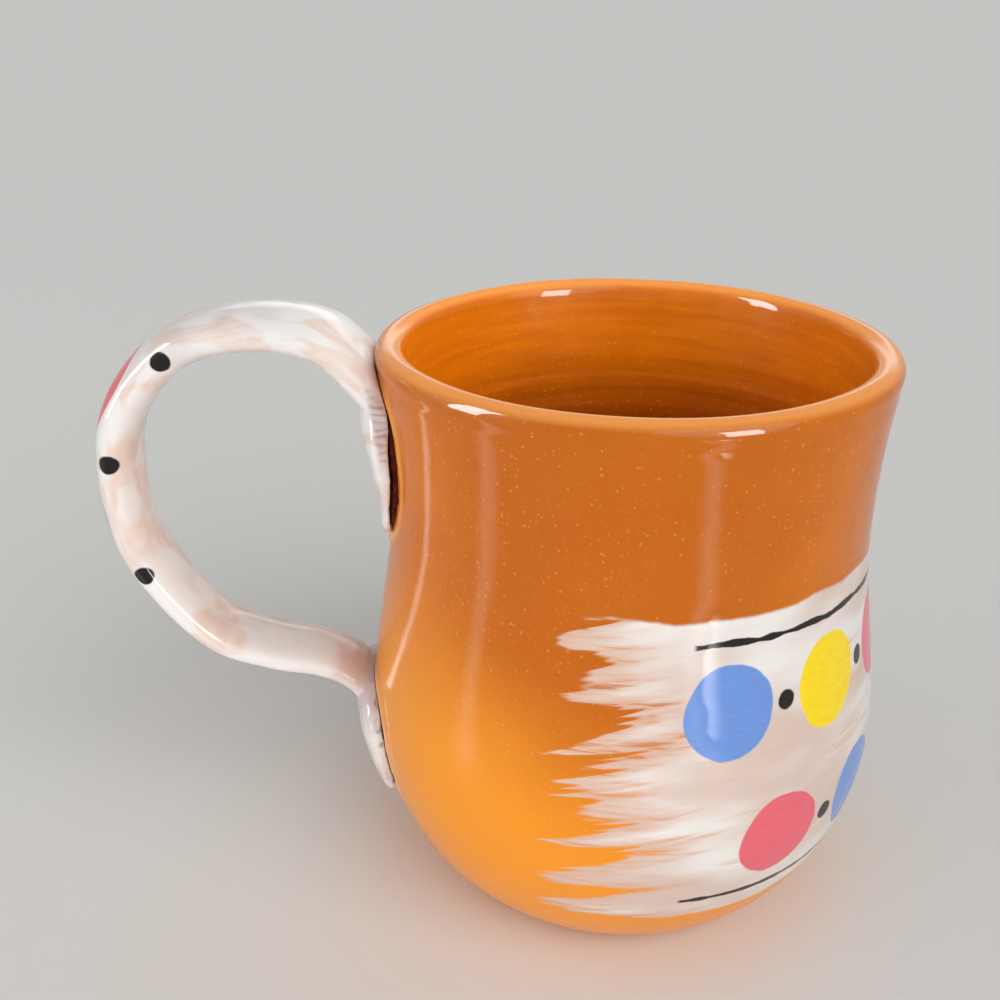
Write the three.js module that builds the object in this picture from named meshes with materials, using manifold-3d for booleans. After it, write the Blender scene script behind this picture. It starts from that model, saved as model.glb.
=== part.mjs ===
// Hand-thrown coffee mug with a pulled strap handle.
// Millimetres, +Z up. The origin is the centre of the flat foot, on the axis of the bowl.
// The handle points along -X.
import * as THREE from "three";
import { mergeVertices } from "three/addons/utils/BufferGeometryUtils.js";
import Module from "manifold-3d";

// Bowl, outside
const HEIGHT = 104.5; // foot to the top of the lip
const RIM_RADIUS = 45.0; // outside of the lip
const LIP_THICKNESS = 5.0; // across the rounded lip
const LIP_FLARE = 0.155; // outward slope of the wall where it meets the lip
const NECK_RADIUS = 43.0; // narrowest ring of the wall
const NECK_HEIGHT = 75.2;
const BELLY_RADIUS = 47.3; // widest ring of the wall
const BELLY_HEIGHT = 34.2;
const BELLY_FULLNESS = 1.84; // exponent of the round between belly and foot
const FOOT_RADIUS = 30.0; // flat face the mug stands on
const FOOT_TRIM = 2.1; // depth trimmed off the round bottom to make the flat foot

// Bowl, inside
const WALL_THICKNESS = 4.8; // at the neck and at the belly
const FLOOR_THICKNESS = 7.0; // at the middle of the floor
const FLOOR_RADIUS = 15.0; // flat middle of the floor inside
const WELL_FULLNESS = 2.0; // exponent of the round between floor and wall

// Handle strap, an oval section that tapers as it is pulled
const UPPER_JOINT_DROP = 8.7; // top of the lip down to where the strap's centre line meets the wall
const LOWER_JOINT_HEIGHT = 33.0; // foot up to where the centre line meets the wall again
const HANDLE_REACH = 45.5; // wall to the outermost point of the strap's centre line
const STRAP_ROOT_WIDTH = 29.0; // at the upper joint
const STRAP_MID_WIDTH = 17.0; // round the loop
const STRAP_END_WIDTH = 15.2; // at the lower joint
const STRAP_ROOT_THICKNESS = 6.4;
const STRAP_MID_THICKNESS = 7.7;
const STRAP_END_THICKNESS = 5.4;
const STRAP_FLARE_SHARE = 0.3; // part of the strap's length that widens to the upper joint
const STRAP_SQUARENESS = 2.3; // exponent of the oval section
const STRAP_BURIAL = 9.0; // how far the centre line runs on into the wall before it is trimmed

// Tails, the flattened ends of the handle that are pressed on the wall
const UPPER_TAIL_RISE = 4.0; // its top above the upper joint
const UPPER_TAIL_LENGTH = 31.3;
const UPPER_TAIL_WIDTH = 30.0; // at its top
const UPPER_TAIL_TIP_WIDTH = 30.0;
const UPPER_TAIL_THICKNESS = 4.3;
const UPPER_TAIL_TIP_THICKNESS = 1.9;
const UPPER_TAIL_TIP_BLUNTNESS = 1.8; // exponent of its outline, larger for a blunter tip
const LOWER_TAIL_RISE = 7.0; // its top above the lower joint
const LOWER_TAIL_LENGTH = 19.6;
const LOWER_TAIL_WIDTH = 27.0;
const LOWER_TAIL_TIP_WIDTH = 36.0;
const LOWER_TAIL_THICKNESS = 3.6;
const LOWER_TAIL_TIP_THICKNESS = 2.3;
const LOWER_TAIL_TIP_BLUNTNESS = 10.0;
const TAIL_TOP_BLUNTNESS = 3.5; // exponent of the outline at the upper end of both tails
const TAIL_EDGE = 3.2; // exponent of a tail's section, larger for a thicker edge
const TAIL_END = 8.0; // exponent of a tail's thickness towards its ends

// Joining slip between wall and tails
const SLIP_THICKNESS = 0.5;
const SLIP_MARGIN = 0.7; // how far the slip squeezes out round a tail
const CLEARANCE = 0.3; // between neighbouring pieces

// Fineness of the surfaces
const TURNS = 64; // facets round the bowl
const STRAP_STEPS = 46;
const STRAP_SIDES = 18;
const TAIL_STEPS = 14;
const TAIL_SIDES = 12;

// Colours and finishes
const RED_CLAY = { color: 0xc8691a, roughness: 0.18, metalness: 0.0 };
const WHITE_SLIP = { color: 0xe8ddd5, roughness: 0.22, metalness: 0.0 };
const JOINING_SLIP = { color: 0x4a1a0c, roughness: 0.5, metalness: 0.0 };

const { lerp } = THREE.MathUtils;
const wasm = await Module();
wasm.setup();

const lipRadius = LIP_THICKNESS / 2;
const lipHeight = HEIGHT - lipRadius; // where the wall turns into the rounded lip
const roundDepth = BELLY_HEIGHT + FOOT_TRIM; // the belly's round before its bottom is trimmed
const upperJointHeight = HEIGHT - UPPER_JOINT_DROP;

// A curve from a to b over u = 0..1 with the given end slopes
function ease(u, a, b, slopeA = 0, slopeB = 0) {
  const h = u * u * (3 - 2 * u);
  return a * (1 - h) + b * h + slopeA * u * (1 - u) ** 2 - slopeB * u * u * (1 - u);
}

// Evenly spaced values from one end up to, but without, the other
function spaced(from, to, steps) {
  return Array.from({ length: steps }, (_, i) => lerp(from, to, i / steps));
}

// A point on a superellipse with half axes of 1
function ovalPoint(angle, exponent) {
  const power = (v) => Math.sign(v) * Math.abs(v) ** (2 / exponent);
  return [power(Math.cos(angle)), power(Math.sin(angle))];
}

// How far out the belly's round has come at a height, from 0 on its corner to 1 at the belly
function roundShare(height) {
  const c = ((BELLY_HEIGHT - height) / roundDepth) ** (BELLY_FULLNESS / 2);
  return Math.sqrt(1 - c * c) ** (2 / BELLY_FULLNESS);
}

// Outside radius of the wall at a height between the foot and the lip
function wallRadius(height) {
  if (height <= BELLY_HEIGHT) {
    const atFoot = roundShare(0);
    return lerp(FOOT_RADIUS, BELLY_RADIUS, (roundShare(height) - atFoot) / (1 - atFoot));
  }
  if (height <= NECK_HEIGHT) {
    return ease((height - BELLY_HEIGHT) / (NECK_HEIGHT - BELLY_HEIGHT), BELLY_RADIUS, NECK_RADIUS);
  }
  const rise = lipHeight - NECK_HEIGHT;
  return ease((height - NECK_HEIGHT) / rise, NECK_RADIUS, RIM_RADIUS, 0, LIP_FLARE * rise);
}

// Outside of the bowl from the foot's edge to the top of the lip, as [radius, height] points
function outsideProfile() {
  const footAngle = Math.acos((BELLY_HEIGHT / roundDepth) ** (BELLY_FULLNESS / 2));
  const roundHeights = spaced(footAngle, Math.PI / 2, 11)
    .slice(1)
    .map((angle) => BELLY_HEIGHT - roundDepth * ovalPoint(angle, BELLY_FULLNESS)[0]);
  const heights = [
    0,
    ...roundHeights,
    ...spaced(BELLY_HEIGHT, NECK_HEIGHT, 10),
    ...spaced(NECK_HEIGHT, lipHeight, 7),
  ];
  const wall = heights.map((height) => [wallRadius(height), height]);
  const lip = [...spaced(0, Math.PI / 2, 4), Math.PI / 2].map((angle) => [
    RIM_RADIUS - lipRadius + lipRadius * Math.cos(angle),
    lipHeight + lipRadius * Math.sin(angle),
  ]);
  return [...wall, ...lip];
}

// Inside of the bowl from just past the top of the lip down to the flat of the floor
function insideProfile() {
  const lip = spaced(Math.PI / 2, Math.PI, 4)
    .slice(1)
    .map((angle) => [
      RIM_RADIUS - lipRadius + lipRadius * Math.cos(angle),
      lipHeight + lipRadius * Math.sin(angle),
    ]);
  const heights = [...spaced(lipHeight, NECK_HEIGHT, 5), ...spaced(NECK_HEIGHT, BELLY_HEIGHT, 8)];
  const wall = heights.map((height) => {
    const belowLip = Math.min(1, (lipHeight - height) / (lipHeight - NECK_HEIGHT));
    return [wallRadius(height) - ease(belowLip, LIP_THICKNESS, WALL_THICKNESS), height];
  });
  const well = [...spaced(0, Math.PI / 2, 9), Math.PI / 2].map((angle) => {
    const [outward, downward] = ovalPoint(angle, WELL_FULLNESS);
    return [
      lerp(FLOOR_RADIUS, BELLY_RADIUS - WALL_THICKNESS, Math.max(outward, 0)),
      lerp(BELLY_HEIGHT, FLOOR_THICKNESS, downward),
    ];
  });
  return [...lip, ...wall, ...well];
}

// A solid of revolution about Z from a profile that starts and ends on the axis
function revolve(profile) {
  const points = profile.map(([radius, height]) => new THREE.Vector2(radius, height));
  return new THREE.LatheGeometry(points, TURNS).rotateX(Math.PI / 2);
}

// The space inside the bowl's outline, grown by a distance square to its outside
function grownBowl(distance) {
  const outside = outsideProfile();
  const grown = outside.map(([radius, height], i) => {
    const [r0, z0] = outside[Math.max(i - 1, 0)];
    const [r1, z1] = outside[Math.min(i + 1, outside.length - 1)];
    const scale = distance / Math.hypot(r1 - r0, z1 - z0);
    return [radius + (z1 - z0) * scale, height - (r1 - r0) * scale];
  });
  return solid(revolve([[0, grown[0][1]], ...grown, [0, grown.at(-1)[1]]]));
}

// A closed surface through rings of points, with a flat cap over each end
function loft(rings) {
  const sides = rings[0].length;
  const index = [];
  for (let i = 0; i + 1 < rings.length; i += 1) {
    for (let j = 0; j < sides; j += 1) {
      const a = i * sides + j;
      const b = i * sides + ((j + 1) % sides);
      index.push(a, a + sides, b, b, a + sides, b + sides);
    }
  }
  const last = (rings.length - 1) * sides;
  for (let j = 1; j + 1 < sides; j += 1) {
    index.push(0, j, j + 1);
    index.push(last, last + j + 1, last + j);
  }
  const geometry = new THREE.BufferGeometry().setFromPoints(rings.flat());
  geometry.setIndex(index);
  return geometry;
}

// Turns a closed geometry into a solid that can be joined and cut
function solid(geometry) {
  const bare = new THREE.BufferGeometry();
  bare.setAttribute("position", geometry.getAttribute("position"));
  bare.setIndex(geometry.getIndex());
  const merged = mergeVertices(bare);
  const index = merged.getIndex().array;
  const triVerts = [];
  for (let i = 0; i < index.length; i += 3) {
    const [a, b, c] = index.slice(i, i + 3);
    if (a !== b && b !== c && c !== a) {
      triVerts.push(a, b, c);
    }
  }
  const vertProperties = new Float32Array(merged.getAttribute("position").array);
  return new wasm.Manifold(new wasm.Mesh({ numProp: 3, vertProperties, triVerts: new Uint32Array(triVerts) }));
}

function geometryOf(shape) {
  const mesh = shape.getMesh();
  const geometry = new THREE.BufferGeometry();
  geometry.setAttribute("position", new THREE.Float32BufferAttribute(mesh.vertProperties, 3));
  geometry.setIndex(new THREE.Uint32BufferAttribute(mesh.triVerts, 1));
  geometry.computeVertexNormals();
  return geometry;
}

// The strap's centre line, in the plane of the bowl's axis, from inside the wall round the loop and back in
function strapCentreLine() {
  const upperRadius = wallRadius(upperJointHeight);
  const lowerRadius = wallRadius(LOWER_JOINT_HEIGHT);
  // Shares of the reach from the wall, and of the height from the lower joint to the upper one
  const loopShares = [
    [0.208, 1.14],
    [0.491, 1.167],
    [0.777, 1.105],
    [0.986, 0.904],
    [0.951, 0.545],
    [0.654, 0.248],
    [0.315, 0.164],
    [0.073, 0.068],
  ];
  const loop = loopShares.map(([out, up]) => {
    const wall = lerp(lowerRadius, upperRadius, Math.min(up, 1));
    const height = lerp(LOWER_JOINT_HEIGHT, upperJointHeight, up);
    return new THREE.Vector3(-wall - out * HANDLE_REACH, 0, height);
  });
  const upperRoot = new THREE.Vector3(-upperRadius, 0, upperJointHeight);
  const lowerRoot = new THREE.Vector3(-lowerRadius, 0, LOWER_JOINT_HEIGHT);
  const buried = (root, next) => {
    const inward = root.clone().sub(next).normalize();
    return root.clone().addScaledVector(inward, STRAP_BURIAL);
  };
  return new THREE.CatmullRomCurve3([
    buried(upperRoot, loop[0]),
    upperRoot,
    ...loop,
    lowerRoot,
    buried(lowerRoot, loop.at(-1)),
  ]);
}

// The strap narrows soon after the upper joint, and then slowly towards the lower one.
function strapTaper(along, root, middle, end) {
  if (along < STRAP_FLARE_SHARE) {
    return ease(along / STRAP_FLARE_SHARE, root, middle);
  }
  return ease((along - STRAP_FLARE_SHARE) / (1 - STRAP_FLARE_SHARE), middle, end);
}

// The strap: an oval section carried round the handle's loop
function strap() {
  const centreLine = strapCentreLine();
  const across = new THREE.Vector3(0, 1, 0);
  const rings = [];
  for (let i = 0; i <= STRAP_STEPS; i += 1) {
    const along = i / STRAP_STEPS;
    const centre = centreLine.getPointAt(along);
    const outward = centreLine.getTangentAt(along).cross(across);
    const width = strapTaper(along, STRAP_ROOT_WIDTH, STRAP_MID_WIDTH, STRAP_END_WIDTH);
    const thickness = strapTaper(along, STRAP_ROOT_THICKNESS, STRAP_MID_THICKNESS, STRAP_END_THICKNESS);
    const ring = spaced(0, 2 * Math.PI, STRAP_SIDES).map((angle) => {
      const [x, y] = ovalPoint(angle, STRAP_SQUARENESS);
      return centre
        .clone()
        .addScaledVector(outward, (x * thickness) / 2)
        .addScaledVector(across, (y * width) / 2);
    });
    rings.push(ring);
  }
  return solid(loft(rings));
}

// A point by the wall near the handle, with its angle measured round the bowl from -X
function roundWall(radius, angle, height) {
  return new THREE.Vector3(-radius * Math.cos(angle), radius * Math.sin(angle), height);
}

// A tail: a tongue of clay bent round the wall, with rounded ends and a thick edge.
// Its inner side lies inside the wall, to be trimmed to its seat.
function tail({ top, length, width, tipWidth, tipBluntness, thickness, tipThickness }, margin = 0) {
  const rings = [];
  for (let i = 0; i <= TAIL_STEPS; i += 1) {
    const fromMiddle = Math.cos((Math.PI * (i + 0.5)) / (TAIL_STEPS + 1));
    const along = (1 - fromMiddle) / 2;
    const bluntness = fromMiddle > 0 ? TAIL_TOP_BLUNTNESS : tipBluntness;
    const roundOutline = Math.sqrt(1 - Math.abs(fromMiddle) ** bluntness);
    const roundEnd = Math.sqrt(1 - fromMiddle ** TAIL_END);
    const height = top + margin - along * (length + 2 * margin);
    const half = (lerp(width, tipWidth, along) / 2 + margin) * roundOutline;
    const proud = lerp(thickness, tipThickness, along) * roundEnd + margin;
    const wall = wallRadius(height);
    const outer = [...spaced(0, Math.PI, TAIL_SIDES), Math.PI].map((angle) => {
      const [y, out] = ovalPoint(angle, TAIL_EDGE);
      return roundWall(wall + proud * Math.max(out, 0), (half * y) / wall, height);
    });
    const inner = [-half, half].map((y) => roundWall(wall - thickness, y / wall, height));
    rings.push([...outer, ...inner]);
  }
  return solid(loft(rings));
}

const UPPER_TAIL = {
  top: upperJointHeight + UPPER_TAIL_RISE,
  length: UPPER_TAIL_LENGTH,
  width: UPPER_TAIL_WIDTH,
  tipWidth: UPPER_TAIL_TIP_WIDTH,
  tipBluntness: UPPER_TAIL_TIP_BLUNTNESS,
  thickness: UPPER_TAIL_THICKNESS,
  tipThickness: UPPER_TAIL_TIP_THICKNESS,
};
const LOWER_TAIL = {
  top: LOWER_JOINT_HEIGHT + LOWER_TAIL_RISE,
  length: LOWER_TAIL_LENGTH,
  width: LOWER_TAIL_WIDTH,
  tipWidth: LOWER_TAIL_TIP_WIDTH,
  tipBluntness: LOWER_TAIL_TIP_BLUNTNESS,
  thickness: LOWER_TAIL_THICKNESS,
  tipThickness: LOWER_TAIL_TIP_THICKNESS,
};

function thrownBody() {
  return revolve([[0, 0], ...outsideProfile(), ...insideProfile(), [0, FLOOR_THICKNESS]]);
}

function pulledHandle() {
  const seat = grownBowl(CLEARANCE + SLIP_THICKNESS + CLEARANCE);
  const pulled = strap().add(tail(UPPER_TAIL)).add(tail(LOWER_TAIL));
  return geometryOf(pulled.subtract(seat));
}

function slipJoint(tailSizes) {
  const footprint = tail(tailSizes, SLIP_MARGIN);
  const outerSide = grownBowl(CLEARANCE + SLIP_THICKNESS);
  const wallSide = grownBowl(CLEARANCE);
  return geometryOf(footprint.intersect(outerSide).subtract(wallSide));
}

function piece(name, geometry, finish) {
  const mesh = new THREE.Mesh(geometry, new THREE.MeshStandardMaterial(finish));
  mesh.name = name;
  return mesh;
}

const mug = new THREE.Group();
mug.add(
  piece("thrown_body", thrownBody(), RED_CLAY),
  piece("pulled_handle", pulledHandle(), WHITE_SLIP),
  piece("upper_slip_joint", slipJoint(UPPER_TAIL), JOINING_SLIP),
  piece("lower_slip_joint", slipJoint(LOWER_TAIL), JOINING_SLIP),
);

export default mug;
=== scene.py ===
"""Hand-thrown coffee mug with a pulled handle: its clay, slip, paint and glaze, and the light on it.

Metres, +Z up. The origin is the centre of the foot, and the handle points along -X.
"""
import math

import bmesh
import bpy
import numpy as np
from mathutils import Matrix, Quaternion, Vector
from mathutils import noise as lumps


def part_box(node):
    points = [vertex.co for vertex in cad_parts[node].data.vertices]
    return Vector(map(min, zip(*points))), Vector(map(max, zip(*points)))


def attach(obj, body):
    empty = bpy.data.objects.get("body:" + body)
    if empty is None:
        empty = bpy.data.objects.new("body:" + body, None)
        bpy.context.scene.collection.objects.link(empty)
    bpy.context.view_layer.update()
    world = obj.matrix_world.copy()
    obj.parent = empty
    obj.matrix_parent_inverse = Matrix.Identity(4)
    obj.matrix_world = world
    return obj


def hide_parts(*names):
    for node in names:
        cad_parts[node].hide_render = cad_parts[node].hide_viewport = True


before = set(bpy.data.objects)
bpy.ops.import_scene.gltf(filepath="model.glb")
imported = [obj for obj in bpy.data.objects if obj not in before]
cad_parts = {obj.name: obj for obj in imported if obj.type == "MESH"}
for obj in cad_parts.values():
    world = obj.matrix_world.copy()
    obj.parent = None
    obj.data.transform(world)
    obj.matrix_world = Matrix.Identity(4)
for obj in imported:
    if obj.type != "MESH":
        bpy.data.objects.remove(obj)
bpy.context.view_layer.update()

MM = 0.001
body_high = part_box("thrown_body")[1]

# Bowl, outside
HEIGHT = body_high.z
BELLY_RADIUS = body_high.x
RIM_RADIUS = 45.0 * MM
LIP_THICKNESS = 5.0 * MM
LIP_FLARE = 0.155
NECK_RADIUS = 43.0 * MM
NECK_HEIGHT = 75.2 * MM
BELLY_HEIGHT = 34.2 * MM
BELLY_FULLNESS = 1.84
FOOT_RADIUS = 30.0 * MM
FOOT_TRIM = 2.1 * MM
FOOT_EDGE = 0.7 * MM  # softened edge of the foot

# Bowl, inside
WALL_THICKNESS = 4.8 * MM
FLOOR_THICKNESS = 7.0 * MM
FLOOR_RADIUS = 15.0 * MM
WELL_FULLNESS = 2.0

# Marks of the wheel and the hand on the bowl
WOBBLE = 0.10 * MM  # how far the rings are out of round
RIB_MARKS = 0.008 * MM  # outside, smoothed with a rib
THROWING_RINGS = 0.19 * MM  # inside, left by the fingers
RING_PITCH = 5.6 * MM
FLOOR_SPIRAL = 0.32 * MM  # inside, where the fingers opened the clay
FLOOR_SPIRAL_PITCH = 6.4 * MM
LIP_WAVE = 0.12 * MM  # up and down along the lip
LIP_LINE = 0.14 * MM  # shallow line under the lip
LIP_LINE_DROP = 4.4 * MM  # from the top of the lip
LIP_LINE_WIDTH = 0.6 * MM

# Handle strap
UPPER_JOINT_HEIGHT = HEIGHT - 8.7 * MM
LOWER_JOINT_HEIGHT = 33.0 * MM
HANDLE_REACH = 45.5 * MM
STRAP_WIDTHS = (29.0 * MM, 17.0 * MM, 15.2 * MM)  # at the upper joint, round the loop, at the lower joint
STRAP_THICKNESSES = (6.4 * MM, 7.7 * MM, 5.4 * MM)
STRAP_FLARE_SHARE = 0.3
STRAP_SQUARENESS = 2.3
STRAP_BURIAL = 9.0 * MM
# Shares of the reach from the wall, and of the height from the lower joint to the upper one
LOOP_SHARES = [
    (0.208, 1.14),
    (0.491, 1.167),
    (0.777, 1.105),
    (0.986, 0.904),
    (0.951, 0.545),
    (0.654, 0.248),
    (0.42, 0.176),
    (0.2, 0.142),
    (0.06, 0.082),
]

# Tails of the handle, pressed on the wall. What changes along a tail is listed by shares of its
# length from its top: thickness, gap to the wall in the middle, and lift of the edges.
UPPER_TAIL = {
    "top": UPPER_JOINT_HEIGHT + 4.0 * MM,
    "length": 31.3 * MM,
    "widths": (30.0 * MM, 30.0 * MM),
    "tip_bluntness": 1.8,
    "edge": 5.0,
    "ragged": 0.3 * MM,
    "thickness": {
        0.0: 3.2 * MM, 0.28: 4.1 * MM, 0.53: 3.1 * MM, 0.72: 1.7 * MM, 0.9: 1.9 * MM, 1.0: 1.3 * MM,
    },
    "seat": {0.0: -0.1 * MM, 0.15: 0.05 * MM, 0.3: 0.25 * MM, 0.84: 0.25 * MM, 0.94: -0.1 * MM},
    "lift": {0.0: 0.1 * MM, 0.24: 0.2 * MM, 0.36: 1.0 * MM, 0.7: 1.2 * MM, 0.85: 0.5 * MM, 0.93: 0.0},
}
LOWER_TAIL = {
    "top": LOWER_JOINT_HEIGHT + 7.0 * MM,
    "length": 19.6 * MM,
    "widths": (27.0 * MM, 36.0 * MM),
    "tip_bluntness": 10.0,
    "edge": 4.0,
    "ragged": 0.6 * MM,
    "thickness": {0.0: 3.4 * MM, 0.5: 3.2 * MM, 1.0: 2.2 * MM},
    "seat": {0.0: -0.12 * MM, 1.0: -0.08 * MM},
    "lift": {0.0: 0.0, 1.0: 0.05 * MM},
}
TAIL_TOP_BLUNTNESS = 3.5
GROOVE_PITCH = 1.25 * MM  # of the tool marks along the upper tail
GROOVE_DEPTH = 0.2 * MM
TAIL_END = 8.0  # squareness of the ends of tails and slip
RAGGED_SIZE = 1.5 * MM  # of the unevenness along the tails' edges
SLIP_SINK = 0.15 * MM  # how far the joining slip has soaked into the wall
SLIP_CLEARANCE = 0.04 * MM  # between the joining slip and the tail
SLIP_LEAST = 0.1 * MM  # thickness of the joining slip where it is squeezed thin
SLIP_SQUEEZE = 1.7 * MM  # size of the unevenness along its edge
SLIP_GRAIN = 0.9 * MM  # size of the lumps on it
SLIP_EDGE = 7.0  # squareness of its edge
RIDGE = 0.3 * MM  # ridge of clay pushed up along a tail
RIDGE_WIDTH = 0.85 * MM
RIDGE_OFFSET = 1.0 * MM  # from the tail's edge

# Marks of the hand on the handle: height of the lumps, and their size
PULLED_LUMP, PULLED_SIZE = 0.14 * MM, 11 * MM
FINE_LUMP, FINE_SIZE = 0.04 * MM, 3.5 * MM
PRESSED_LUMP, PRESSED_SIZE = 0.12 * MM, 1.5 * MM  # where the lower tail is pressed on
LUMP_SINK = 0.12 * MM  # keeps the lumps inside the solid

# Fineness of the surfaces
PROFILE_STEP = 0.75 * MM
STRAP_STEP = 1.0 * MM
JOINT_SECTOR = math.radians(28)  # each side of the handle
FINE_TURN = math.radians(0.36)
COARSE_TURN = math.radians(2.0)
HANDLE_VOXEL = 0.32 * MM

# Camera, solved from the photograph's outlines
CAMERA_PLACE = Vector((-28.14, -200.21, 160.93)) * MM
CAMERA_AIM = Vector((-23.20, 0.0, 73.59)) * MM
CAMERA_ROLL = math.radians(0.25)
CAMERA_LENS = 43.2
CAMERA_SENSOR = 36.0
CAMERA_SIDE = math.degrees(math.atan2(CAMERA_PLACE.y, CAMERA_PLACE.x))


def tint(red, green, blue):
    """A colour given in 0..255, as the linear colour that a shader takes."""
    shares = (red / 255, green / 255, blue / 255)
    linear = [c / 12.92 if c <= 0.04045 else ((c + 0.055) / 1.055) ** 2.4 for c in shares]
    return (*linear, 1.0)


CLAY = tint(209, 113, 4)
CLAY_DEEP = tint(198, 102, 2)
# Painted shade on the front of the outer wall, towards the camera.
CLAY_FRONT_SHADE = tint(184, 91, 0)
# The belly's paler orange: partly the clay's tone, partly painted light from the lower left.
CLAY_BELLY_TONE_AND_LIGHT = tint(240, 148, 32)
CLAY_SPECK = tint(246, 170, 84)
# Pale lip: partly where the glaze breaks, partly painted sheen. Also the painted reflection of the handle
# along the upper tail's ridge.
CLAY_LIP_AND_SHEEN = tint(244, 160, 78)
# Painted shade down the inside wall of the well.
CLAY_WELL_SHADE = tint(134, 60, 3)
CLAY_WIPED = tint(180, 88, 2)
CLAY_BARE = tint(196, 122, 70)
SLIP_WHITE = tint(232, 229, 226)
SLIP_THIN = tint(214, 168, 142)
SLIP_BAND = tint(233, 228, 223)
SLIP_WASH = tint(213, 187, 174)
SLIP_PEACH = tint(226, 205, 193)
SLIP_LILAC = tint(198, 178, 178)
# Painted shade in the upper tail's tool marks, also used for dark slip flecks along the lower seam.
SLIP_GROOVE_SHADE_AND_FLECKS = tint(122, 88, 86)
SLIP_TAN = tint(226, 180, 142)
SLIP_JOINING = tint(92, 24, 10)
SLIP_JOINING_DARK = tint(46, 8, 4)
PAINT_BLUE = tint(108, 146, 214)
PAINT_YELLOW = tint(250, 216, 4)
PAINT_CORAL = tint(231, 102, 115)
PAINT_BLACK = tint(24, 22, 22)
FLOOR_GREY = tint(232, 232, 230)


# Shape of the bowl


def ease(u, a, b, slope_a=0.0, slope_b=0.0):
    """A curve from a to b over u = 0..1 with the given end slopes."""
    h = u * u * (3 - 2 * u)
    return a * (1 - h) + b * h + slope_a * u * (1 - u) ** 2 - slope_b * u * u * (1 - u)


def lerp(a, b, share):
    return a + (b - a) * share


LIP_RADIUS = LIP_THICKNESS / 2
LIP_HEIGHT = HEIGHT - LIP_RADIUS
ROUND_DEPTH = BELLY_HEIGHT + FOOT_TRIM


def round_share(height):
    """How far out the belly's round has come at a height, from 0 on its corner to 1 at the belly."""
    c = ((BELLY_HEIGHT - height) / ROUND_DEPTH) ** (BELLY_FULLNESS / 2)
    return np.sqrt(1 - c * c) ** (2 / BELLY_FULLNESS)


def wall_radius(height):
    """Outside radius of the wall at heights between the foot and the lip."""
    height = np.clip(np.asarray(height, float), 0, LIP_HEIGHT)
    at_foot = round_share(0.0)
    share = (round_share(np.minimum(height, BELLY_HEIGHT)) - at_foot) / (1 - at_foot)
    low = lerp(FOOT_RADIUS, BELLY_RADIUS, share)
    waist = np.clip((height - BELLY_HEIGHT) / (NECK_HEIGHT - BELLY_HEIGHT), 0, 1)
    middle = ease(waist, BELLY_RADIUS, NECK_RADIUS)
    rise = LIP_HEIGHT - NECK_HEIGHT
    flare = np.clip((height - NECK_HEIGHT) / rise, 0, 1)
    high = ease(flare, NECK_RADIUS, RIM_RADIUS, 0, LIP_FLARE * rise)
    return np.where(height <= BELLY_HEIGHT, low, np.where(height <= NECK_HEIGHT, middle, high))


def bowl_profile():
    """The bowl's section from the middle of the foot, up the outside and over the lip to the floor."""
    foot_edge = [
        (FOOT_RADIUS - FOOT_EDGE * (1 - math.sin(a)) * 2, FOOT_EDGE * (1 - math.cos(a)) * 0.5)
        for a in np.linspace(0, math.pi / 2, 40)[::4]
    ]
    round_rise = np.cos(np.linspace(0, math.pi / 2, 300)) ** (2 / BELLY_FULLNESS)
    round_heights = BELLY_HEIGHT - ROUND_DEPTH * round_rise
    round_heights = round_heights[round_heights > FOOT_EDGE]
    heights = np.concatenate([round_heights, np.linspace(BELLY_HEIGHT, LIP_HEIGHT, 300)[1:]])
    outside = list(zip(wall_radius(heights), heights))
    lip = [
        (RIM_RADIUS - LIP_RADIUS + LIP_RADIUS * math.cos(a), LIP_HEIGHT + LIP_RADIUS * math.sin(a))
        for a in np.linspace(0, math.pi, 80)[1:-1]
    ]
    inner_heights = np.linspace(LIP_HEIGHT, BELLY_HEIGHT, 300)
    below_lip = np.clip((LIP_HEIGHT - inner_heights) / (LIP_HEIGHT - NECK_HEIGHT), 0, 1)
    inner_radii = wall_radius(inner_heights) - ease(below_lip, LIP_THICKNESS, WALL_THICKNESS)
    inside = list(zip(inner_radii, inner_heights))
    well = [
        (
            lerp(FLOOR_RADIUS, BELLY_RADIUS - WALL_THICKNESS, math.cos(a) ** (2 / WELL_FULLNESS)),
            lerp(BELLY_HEIGHT, FLOOR_THICKNESS, math.sin(a) ** (2 / WELL_FULLNESS)),
        )
        for a in np.linspace(0, math.pi / 2, 120)[1:]
    ]
    stretches = [[(0, 0)] + foot_edge + outside, lip, inside + well + [(0, FLOOR_THICKNESS)]]
    return even_steps(np.array([point for stretch in stretches for point in stretch]), PROFILE_STEP)


def lengths_along(line):
    """Length of a line up to each of its points."""
    return np.concatenate([[0], np.cumsum(np.linalg.norm(np.diff(line, axis=0), axis=1))])


def even_steps(line, step):
    """The same line with points an even step apart."""
    lengths = lengths_along(line)
    marks = np.linspace(0, lengths[-1], round(lengths[-1] / step) + 1)
    return np.stack([np.interp(marks, lengths, axis) for axis in line.T], axis=1)


def along_tail(tail, values, share):
    """A size of a tail at shares of its length from its top."""
    return np.interp(share, list(tail[values]), list(tail[values].values()))


def tail_share(tail, heights):
    """Where heights are along a tail, from 0 at its top to 1 at its tip."""
    return np.clip((tail["top"] - heights) / tail["length"], 0, 1)


def tail_half(tail, share):
    """Half width of a tail at shares of its length."""
    from_middle = 1 - 2 * np.asarray(share)
    bluntness = np.where(from_middle > 0, TAIL_TOP_BLUNTNESS, tail["tip_bluntness"])
    return lerp(*tail["widths"], share) / 2 * np.sqrt(1 - np.abs(from_middle) ** bluntness)


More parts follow.
